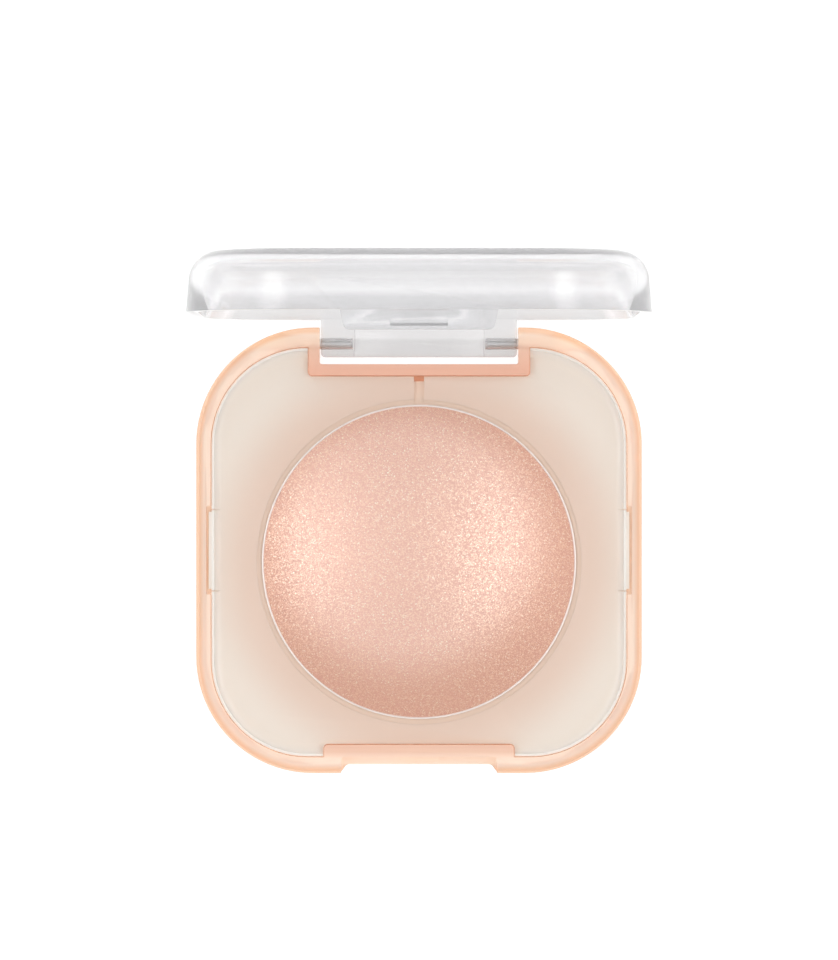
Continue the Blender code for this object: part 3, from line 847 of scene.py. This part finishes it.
fill_ramp(
    paint.color_ramp,
    (
        (0.0, (0.75, 0.44, 0.36)),
        (0.55, (0.80, 0.48, 0.395)),
        (0.66, (0.88, 0.60, 0.475)),
        (0.95, (0.93, 0.69, 0.55)),
        (0.97, (1.0, 0.90, 0.78)),
    ),
)
links.new(chance.outputs["Red"], paint.inputs["Fac"])
from_centre = vector_step(nodes, links, "SUBTRACT", place, CRUST_AND_SHADE_CENTRE)
distance = vector_step(nodes, links, "LENGTH", from_centre.outputs["Vector"]).outputs["Value"]
# Darkening towards the rim: baked crust and painted shade.
crust_and_shade = range_of(nodes, links, distance, CRUST_AND_SHADE_FROM, CRUST_AND_SHADE_TO, 0.0, CRUST_AND_SHADE_SHARE, "SMOOTHSTEP")
baked = blend_of(nodes, links, crust_and_shade, paint.outputs["Color"], (0.76, 0.62, 0.54), "MULTIPLY")
links.new(baked, shader.inputs["Base Color"])
pearl = range_of(nodes, links, chance.outputs["Red"], 0.5, 0.64, 0.08, 0.55)
links.new(pearl, shader.inputs["Metallic"])
gloss = range_of(nodes, links, chance.outputs["Blue"], 0.0, 1.0, 0.36, 0.48)
links.new(gloss, shader.inputs["Roughness"])
finish_with(powder, baked_powder)
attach(powder, "case")
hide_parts("powder_dome")

# ---- Label ---------------------------------------------------------------------------------------
# A round, blank paper label is stuck in the shallow recess under the case.

label_low, label_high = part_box("base_label")
label = drum("label_round", label_high.x, label_low.z, label_high.z, centre=(0.0, 0.0))
LABEL_SOFTENING = 0.03 * MM
PAPER_GRAIN_HEIGHT = 0.02 * MM
soften(label, LABEL_SOFTENING)
smooth(label)
label_paper, nodes, links, shader, place = start_material("label_paper")
shader.inputs["Roughness"].default_value = 0.6
fibres = noise_of(nodes, links, place, 2500.0, 6.0)
paint = blend_of(nodes, links, fibres, (0.86, 0.85, 0.82), (0.94, 0.93, 0.91))
links.new(paint, shader.inputs["Base Color"])
add_bump(nodes, links, shader, fibres, 0.3, PAPER_GRAIN_HEIGHT)
finish_with(label, label_paper)
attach(label, "case")
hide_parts("base_label")

# ---- Lid -----------------------------------------------------------------------------------------
# The lid is one clear moulding: a crowned cap with leaning walls, the lug that the pins pass
# through, and the thumb tab with its catch rib. It is shaped shut here, then swung open.

LID_RIM_Z = 10.27 * MM
LID_HEIGHT = 8.78 * MM
LID_CROWN = 0.5 * MM
LID_WALL = 1.6 * MM
LID_TOP_WALL = 1.5 * MM
LID_ROUND = 3.7 * MM
LID_LEAN = math.tan(math.radians(4.7))
LUG_HALF = 13.87 * MM
LUG_REACH = 1.89 * MM
LUG_ROUND = 0.55 * MM
LUG_BORE = 0.80 * MM
LUG_CORE_HALF = 9.2 * MM
LUG_FRONT_WALL = 0.58 * MM
LUG_CORE_FRONT_Y = AXIS_Y + 1.0 * MM
LUG_CORE_DROP = 0.9 * MM
LUG_CORE_ROUND = 0.05 * MM
LUG_BACK_GAP = 0.05 * MM
LUG_BORE_EXTRA = 0.24 * MM
PIN_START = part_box("hinge_pin_right")[0].x
TAB_HALF = 10.6 * MM
TAB_TIP_HALF = 10.0 * MM
TAB_DROP = 2.73 * MM
TAB_THICK = 1.1 * MM
TAB_CORNER = 0.8 * MM
TAB_ROOT = 0.3 * MM
RIB_HALF = 3.8 * MM
RIB_Y = -29.95 * MM
RIB_GAP = 0.05 * MM
RIB_DROP_HIGH = 1.75 * MM
RIB_DROP_LOW = 2.15 * MM
GATE_RADIUS = 0.4 * MM
GATE_DEPTH = 0.12 * MM
CROWN_RINGS = 10
CROWN_MIDDLE = 0.3
CAP_CORNER_CUTS = 28
CAP_EDGE_CUTS = 12
LID_SOFTENING = 0.15 * MM


def cap(name, half, corner, low_z, top_z, edge_round, crown):
    """A cap with round corners, leaning walls, a round top edge and a crowned top."""
    shoulder_z = top_z - crown
    piece = round_block(name, (-half, -half, low_z), (half, half, shoulder_z), corner, CAP_CORNER_CUTS)
    bpy.ops.object.mode_set(mode="EDIT")
    pick("VERT", lambda v: near(v.co.z, shoulder_z))
    narrow = 1.0 - LID_LEAN * (shoulder_z - low_z) / half
    bpy.ops.transform.resize(value=(narrow, narrow, 1.0), center_override=(0.0, 0.0, 0.0))
    bpy.ops.object.mode_set(mode="OBJECT")
    bevel_where(piece, lambda e: at_height(e, shoulder_z), edge_round, CAP_EDGE_CUTS)
    bpy.ops.object.mode_set(mode="EDIT")
    pick("FACE", lambda f: f.normal.z > 0.9 and len(f.verts) > 8)
    for number in range(CROWN_RINGS):
        before = 1.0 - number / CROWN_RINGS
        last = number == CROWN_RINGS - 1
        across = CROWN_MIDDLE / CROWN_RINGS if last else before - 1.0 / CROWN_RINGS
        rise = crown * (before**2 - across**2)
        shrink = across / before
        bpy.ops.mesh.extrude_region_move(TRANSFORM_OT_translate={"value": (0.0, 0.0, rise)})
        bpy.ops.transform.resize(value=(shrink, shrink, 1.0), center_override=(0.0, 0.0, 0.0))
    bpy.ops.object.mode_set(mode="OBJECT")
    return piece


lid_top = LID_RIM_Z + LID_HEIGHT
lid = cap("lid_clear", CASE_HALF, CASE_CORNER, LID_RIM_Z, lid_top, LID_ROUND, LID_CROWN)
hollow = cap(
    "hollow",
    CASE_HALF - LID_WALL + LID_LEAN * OVER,
    CASE_CORNER - LID_WALL,
    LID_RIM_Z - OVER,
    lid_top - LID_TOP_WALL,
    LID_ROUND - LID_WALL,
    LID_CROWN,
)
carve(lid, hollow)
tab = block(
    "tab",
    (-TAB_HALF, -CASE_HALF, LID_RIM_Z - TAB_DROP),
    (TAB_HALF, TAB_THICK - CASE_HALF, LID_RIM_Z + TAB_ROOT),
)
take(tab)
bpy.ops.object.mode_set(mode="EDIT")
pick("VERT", lambda v: v.co.z < LID_RIM_Z - TAB_DROP / 2.0)
bpy.ops.transform.resize(value=(TAB_TIP_HALF / TAB_HALF, 1.0, 1.0), center_override=(0.0, 0.0, 0.0))
bpy.ops.object.mode_set(mode="OBJECT")
bevel_where(
    tab,
    lambda e: near(e.verts[0].co.z, e.verts[1].co.z)
    and near(e.verts[0].co.z, LID_RIM_Z - TAB_DROP)
    and near(e.verts[0].co.x, e.verts[1].co.x),
    TAB_CORNER,
    6,
)
rib = block(
    "rib",
    (-RIB_HALF, TAB_THICK * 0.5 - CASE_HALF, LID_RIM_Z - RIB_DROP_LOW),
    (RIB_HALF, RIB_Y, LID_RIM_Z - RIB_GAP),
)
take(rib)
bpy.ops.object.mode_set(mode="EDIT")
bpy.ops.mesh.select_all(action="SELECT")
bpy.ops.mesh.bisect(plane_co=(0.0, 0.0, LID_RIM_Z - RIB_DROP_HIGH), plane_no=(0.0, 0.0, 1.0))
pick("VERT", lambda v: near(v.co.y, RIB_Y) and near(v.co.z, LID_RIM_Z - RIB_DROP_LOW))
bpy.ops.transform.translate(value=(0.0, TAB_THICK - CASE_HALF - RIB_Y, 0.0))
bpy.ops.object.mode_set(mode="OBJECT")
lug = block(
    "lug",
    (-LUG_HALF, AXIS_Y - LUG_REACH, AXIS_Z - LUG_REACH),
    (LUG_HALF, CASE_HALF - LUG_BACK_GAP, LID_RIM_Z + LID_WALL),
)
bevel_where(lug, lambda e: any(v.co.z < AXIS_Z for v in e.verts), LUG_ROUND, 5)
lug_core = block(
    "lug_core",
    (-LUG_CORE_HALF, LUG_CORE_FRONT_Y, AXIS_Z - LUG_REACH + LUG_FRONT_WALL),
    (LUG_CORE_HALF, CASE_HALF + OVER, LID_RIM_Z - LUG_CORE_DROP),
)
bevel_where(
    lug_core, lambda e: not near(e.verts[0].co.x, e.verts[1].co.x), LUG_CORE_ROUND, 1
)
carve(lug, lug_core)
weld(lid, tab, rib, lug)
deselect_everything()
bpy.ops.mesh.primitive_cylinder_add(
    vertices=32,
    radius=GATE_RADIUS,
    depth=2.0 * GATE_DEPTH,
    location=(0.0, AXIS_Y - LUG_REACH, AXIS_Z),
    rotation=(math.radians(90.0), 0.0, 0.0),
)
gate = bpy.context.object
bpy.ops.object.transform_apply(location=True, rotation=True, scale=True)
carve(lid, gate)
for side in (-1.0, 1.0):
    inner, outer = sorted((side * (PIN_START - LUG_BORE_EXTRA), side * (LUG_HALF + OVER)))
    carve(lid, rod("lug_bore", LUG_BORE, inner, outer))
soften(lid, LID_SOFTENING)
take(lid)
bpy.ops.object.mode_set(mode="EDIT")
bpy.ops.mesh.select_all(action="SELECT")
bpy.ops.transform.rotate(
    value=math.radians(90.0), orient_axis="X", center_override=(0.0, AXIS_Y, AXIS_Z)
)
bpy.ops.object.mode_set(mode="OBJECT")
smooth(lid)
LID_OPEN_RIM_Y = AXIS_Y + LID_RIM_Z - AXIS_Z
LID_HIGHLIGHT_FROM = 26.0 * MM


def height_on_lid(nodes, links, place):
    """The height over the lid's rim, which is depth from front to back while it stands open.

    It counts for more towards the left and right walls, so that they are painted paler, as a painted
    highlight.
    """
    axes = nodes.new("ShaderNodeSeparateXYZ")
    links.new(place, axes.inputs["Vector"])
    outward = number_step(nodes, links, "ABSOLUTE", axes.outputs["X"])
    # Painted highlight: the ends of the lid are pushed up the ramp to its paler end.
    end_highlight = range_of(nodes, links, outward, LID_HIGHLIGHT_FROM, CASE_HALF, 0.0, LID_HEIGHT)
    return number_step(nodes, links, "ADD", axes.outputs["Y"], end_highlight)


def grey(value):
    """A grey with a trace of blue."""
    return (value, value, value * 1.01)


clear_lid = clear_plastic(
    "clear_lid",
    measure=height_on_lid,
    # Painted light and shade in grey: darker over the lug, the tab and the rim, with painted lighter
    # bands above, as the open lid is lit.
    tint_and_painted_shade=(
        (LID_OPEN_RIM_Y - 5.4 * MM, grey(0.70)),
        (LID_OPEN_RIM_Y - 3.0 * MM, grey(0.68)),
        (LID_OPEN_RIM_Y - 2.5 * MM, grey(0.78)),
        (LID_OPEN_RIM_Y - 0.1 * MM, grey(0.78)),
        (LID_OPEN_RIM_Y + 0.1 * MM, grey(0.74)),
        (LID_OPEN_RIM_Y + 1.6 * MM, grey(0.80)),
        (LID_OPEN_RIM_Y + 2.6 * MM, grey(0.98)),
        (LID_OPEN_RIM_Y + 5.0 * MM, grey(0.84)),
        (LID_OPEN_RIM_Y + 7.0 * MM, grey(0.86)),
        (LID_OPEN_RIM_Y + 8.5 * MM, grey(0.96)),
    ),
    see_through=0.84,
    shine=0.03,
    shadow_tint=(0.95, 0.95, 0.95),
    ior=1.49,
    depth_tint=(0.70, 0.72, 0.75),
    depth_density=0.5,
    waves=0.1,
)
finish_with(lid, clear_lid)
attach(lid, "lid")
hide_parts("lid_shell")

# ---- Hinge pins ----------------------------------------------------------------------------------
# Each pin is a piece of drawn steel wire with chamfered ends. Its outer half is knurled, so that it
# bites in the ear while the lug turns on the smooth half.

PIN_RADIUS = (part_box("hinge_pin_right")[1].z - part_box("hinge_pin_right")[0].z) / 2.0
PIN_SIDES = 36
PIN_CHAMFER = 0.15 * MM
KNURL_SPANS = ((14.9 * MM, 15.7 * MM), (16.4 * MM, 17.2 * MM), (18.0 * MM, 18.8 * MM))
KNURL_DEPTH = 0.05 * MM
KNURL_EDGE = 0.012 * MM
KNURL_TURN = math.radians(360.0 / PIN_SIDES)
steel = worked_metal("steel", (0.92, 0.91, 0.91), (1.0, 1.0, 1.0), shine=0.3, grain=3000.0)
for side, word in ((-1.0, "left"), (1.0, "right")):
    ends = sorted((side * PIN_START, side * PIN_END))
    pin = rod(f"pin_{word}", PIN_RADIUS, *ends, sides=PIN_SIDES)
    bevel_where(pin, lambda e: near(e.verts[0].co.x, e.verts[1].co.x), PIN_CHAMFER, 2)
    bpy.ops.object.mode_set(mode="EDIT")
    for span in KNURL_SPANS:
        for cut_x in span:
            bpy.ops.mesh.select_all(action="SELECT")
            bpy.ops.mesh.bisect(plane_co=(side * cut_x, 0.0, 0.0), plane_no=(1.0, 0.0, 0.0))

    def in_groove(face):
        centre = face.calc_center_median()
        turn = math.atan2(centre.z - AXIS_Z, centre.y - AXIS_Y)
        every_other = round(turn / KNURL_TURN - 0.5) % 2 == 0
        return every_other and any(low < abs(centre.x) < high for low, high in KNURL_SPANS)

    pick("FACE", in_groove)
    bpy.ops.mesh.inset(thickness=KNURL_EDGE, depth=-KNURL_DEPTH, use_individual=True)
    bpy.ops.object.mode_set(mode="OBJECT")
    smooth(pin)
    finish_with(pin, steel)
    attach(pin, "case")
    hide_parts(f"hinge_pin_{word}")

# ---- Studio --------------------------------------------------------------------------------------
# The compact stands on a pale floor that is lit from within and can be seen through from below,
# under soft even light from all round and a large soft box on each side.

FLOOR_SIZE = 3.0
FLOOR_DROP = 0.02 * MM
deselect_everything()
bpy.ops.mesh.primitive_plane_add(size=FLOOR_SIZE, location=(0.0, 0.0, -FLOOR_DROP))
floor = bpy.context.object
floor.name = "floor"
pale, nodes, links, shader, place = start_material("floor_pale")
shader.inputs["Base Color"].default_value = (0.2, 0.2, 0.2, 1.0)
shader.inputs["Roughness"].default_value = 0.9
shader.inputs["Specular IOR Level"].default_value = 0.0
shader.inputs["Emission Color"].default_value = (1.0, 1.0, 1.0, 1.0)
shader.inputs["Emission Strength"].default_value = 0.9
under = nodes.new("ShaderNodeBsdfTransparent")
side_seen = nodes.new("ShaderNodeNewGeometry")
one_way = nodes.new("ShaderNodeMixShader")
links.new(side_seen.outputs["Backfacing"], one_way.inputs["Fac"])
links.new(shader.outputs["BSDF"], one_way.inputs[1])
links.new(under.outputs["BSDF"], one_way.inputs[2])
links.new(one_way.outputs["Shader"], nodes["Material Output"].inputs["Surface"])
floor.data.materials.append(pale)

world = bpy.data.worlds.new("soft_room")
bpy.context.scene.world = world
world.use_nodes = True
nodes, links = world.node_tree.nodes, world.node_tree.links


def sky_step(operation, *values):
    return number_step(nodes, links, operation, *values)


way = nodes.new("ShaderNodeTexCoord")
parts = nodes.new("ShaderNodeSeparateXYZ")
links.new(way.outputs["Generated"], parts.inputs["Vector"])
BOX_OUT, BOX_BACK = 0.54, 0.06
BOX_WIDE, BOX_LONG = 0.30, 0.60
BOX_PEAK = 3.5
WALLS_TO, CEILING_FROM = 0.1, 0.95
WALL_LIGHT, CEILING_LIGHT = 1.02, 0.62
out_by = sky_step("SUBTRACT", sky_step("ABSOLUTE", parts.outputs["X"]), BOX_OUT)
back_by = sky_step("SUBTRACT", parts.outputs["Y"], BOX_BACK)
across = sky_step("DIVIDE", out_by, BOX_WIDE)
along = sky_step("DIVIDE", back_by, BOX_LONG)
apart = sky_step(
    "SQRT", sky_step("ADD", sky_step("MULTIPLY", across, across), sky_step("MULTIPLY", along, along))
)
box_light = range_of(nodes, links, apart, 0.0, 1.0, BOX_PEAK, 0.0, "SMOOTHERSTEP")
boxes = sky_step("MULTIPLY", box_light, sky_step("GREATER_THAN", parts.outputs["Z"], 0.0))
room_light = range_of(
    nodes, links, parts.outputs["Z"], WALLS_TO, CEILING_FROM, WALL_LIGHT, CEILING_LIGHT, "SMOOTHERSTEP"
)
nodes["Background"].inputs["Color"].default_value = (1.0, 1.0, 1.0, 1.0)
links.new(sky_step("ADD", room_light, boxes), nodes["Background"].inputs["Strength"])

camera_data = bpy.data.cameras.new("camera")
camera = bpy.data.objects.new("camera", camera_data)
bpy.context.scene.collection.objects.link(camera)
bpy.context.scene.camera = camera
CAMERA_HEIGHT = 0.945
CAMERA_Y = 9.93 * MM
SENSOR = 36.0
VIEW_HEIGHT = 135.6 * MM
camera_data.sensor_width = SENSOR
camera_data.lens = SENSOR * CAMERA_HEIGHT / VIEW_HEIGHT
camera_data.clip_start = 0.05
camera_data.clip_end = 10.0
camera.location = (0.0, CAMERA_Y, CASE_TOP + CAMERA_HEIGHT)
bpy.context.scene.view_settings.view_transform = "Standard"

deselect_everything()
